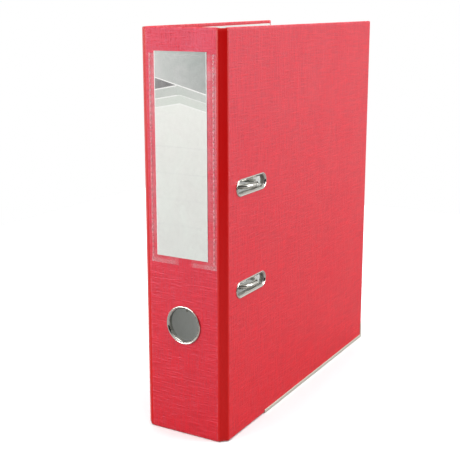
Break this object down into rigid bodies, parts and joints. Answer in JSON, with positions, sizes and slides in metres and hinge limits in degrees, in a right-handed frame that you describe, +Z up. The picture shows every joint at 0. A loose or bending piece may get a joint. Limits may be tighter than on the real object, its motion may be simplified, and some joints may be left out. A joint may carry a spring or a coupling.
{
  "type": "lever arch file",
  "caption": "Stiff board office binder that stands on a shelf: wide spine with label pocket and finger ring, hinged covers, and a lever-operated arch mechanism that holds punched sheets.",
  "frame": {"origin": "middle of the spine's foot, where it stands on the shelf", "axes": "+Z up along the spine; the spine faces -Y and the covers run towards +Y, the front cover with its slots on +X and the rear cover with the mechanism on -X"},
  "size_m": [0.1199, 0.2865, 0.318],
  "materials": {
    "red_foil": "linen embossed polypropylene foil, soft sheen",
    "crease_foil": "smooth foil over the crease",
    "greyboard": "raw grey board",
    "lining_paper": "pale grey printed paper",
    "clear_film": "clear soft film with welded seams",
    "card": "printed label card",
    "nickel_steel": "bright nickel plate",
    "rail_steel": "satin nickel plate",
    "plated_sheet": "nickel plated pressed sheet",
    "spring_steel": "drawn wire",
    "roller_plastic": "moulded acetal",
    "clip_plastic": "moulded, fine texture"
  },
  "bodies": {
    "spine": {"spine_board": "greyboard", "spine_foil": "red_foil", "spine_lining": "lining_paper", "label_pocket": "clear_film", "finger_ring_outer": "nickel_steel", "finger_ring_inner": "nickel_steel"},
    "label": {"label_card": "card"},
    "front_hinge_strip": {"front_crease": "crease_foil"},
    "front_cover": {"front_board": "greyboard", "front_foil": "red_foil", "front_lining": "lining_paper", "front_edge_rail": "rail_steel", "slot_eyelet_upper": "nickel_steel", "slot_eyelet_lower": "nickel_steel", "slot_backing_upper": "nickel_steel", "slot_backing_lower": "nickel_steel"},
    "rear_hinge_strip": {"rear_crease": "crease_foil"},
    "rear_cover": {"rear_board": "greyboard", "rear_foil": "red_foil", "rear_lining": "lining_paper", "rear_edge_rail": "rail_steel", "base_plate": "plated_sheet", "base_rivets": "nickel_steel", "post_upper": "nickel_steel", "post_lower": "nickel_steel", "lever_pin": "nickel_steel", "opening_spring": "spring_steel"},
    "arches": {"arch_wire": "nickel_steel", "lift_plate": "plated_sheet"},
    "lever": {"lever": "plated_sheet", "roller_pin": "nickel_steel"},
    "roller": {"roller": "roller_plastic"},
    "compressor": {"compressor_bar": "plated_sheet", "compressor_clip": "clip_plastic"}
  },
  "joints": [
    {"name": "front_crease_hinge", "type": "hinge", "parent": "spine", "child": "front_hinge_strip", "pos_m": [0.0325, -0.0013, 0.159], "axis": [0, 0, -1], "range_deg": [0, 54]},
    {"name": "front_cover_hinge", "type": "hinge", "parent": "front_hinge_strip", "child": "front_cover", "pos_m": [0.0375, 0.0037, 0.159], "axis": [0, 0, -1], "range_deg": [0, 57]},
    {"name": "rear_crease_hinge", "type": "hinge", "parent": "spine", "child": "rear_hinge_strip", "pos_m": [-0.0325, -0.0013, 0.159], "axis": [0, 0, 1], "range_deg": [0, 54]},
    {"name": "rear_cover_hinge", "type": "hinge", "parent": "rear_hinge_strip", "child": "rear_cover", "pos_m": [-0.0375, 0.0037, 0.159], "axis": [0, 0, 1], "range_deg": [0, 44]},
    {"name": "lever_lift", "type": "hinge", "parent": "rear_cover", "child": "lever", "pos_m": [-0.02657, 0.03378, 0.1815], "axis": [0.1564, -0.9877, 0], "range_deg": [0, 30]},
    {"name": "arch_open", "type": "hinge", "parent": "rear_cover", "child": "arches", "pos_m": [-0.03161, 0.02083, 0.1575], "axis": [0, 0, -1], "range_deg": [0, 12.5]},
    {"name": "roller_spin", "type": "hinge", "parent": "lever", "child": "roller", "pos_m": [-0.02874, 0.03344, 0.1753], "axis": [-0.1564, 0.9877, 0], "continuous": true},
    {"name": "compressor_slide", "type": "slide", "parent": "rear_cover", "child": "compressor", "axis": [0.9877, 0.1564, 0], "range_m": [-0.008, 0.034]},
    {"name": "label_card_slide", "type": "slide", "parent": "spine", "child": "label", "axis": [0, 0, 1], "range_m": [0, 0.15]}
  ],
  "couplings": [
    {"joint": "front_cover_hinge", "follows": "front_crease_hinge", "ratio": 1.0444},
    {"joint": "rear_cover_hinge", "follows": "rear_crease_hinge", "ratio": 0.8},
    {"joint": "arch_open", "follows": "lever_lift", "ratio": 0.4}
  ]
}
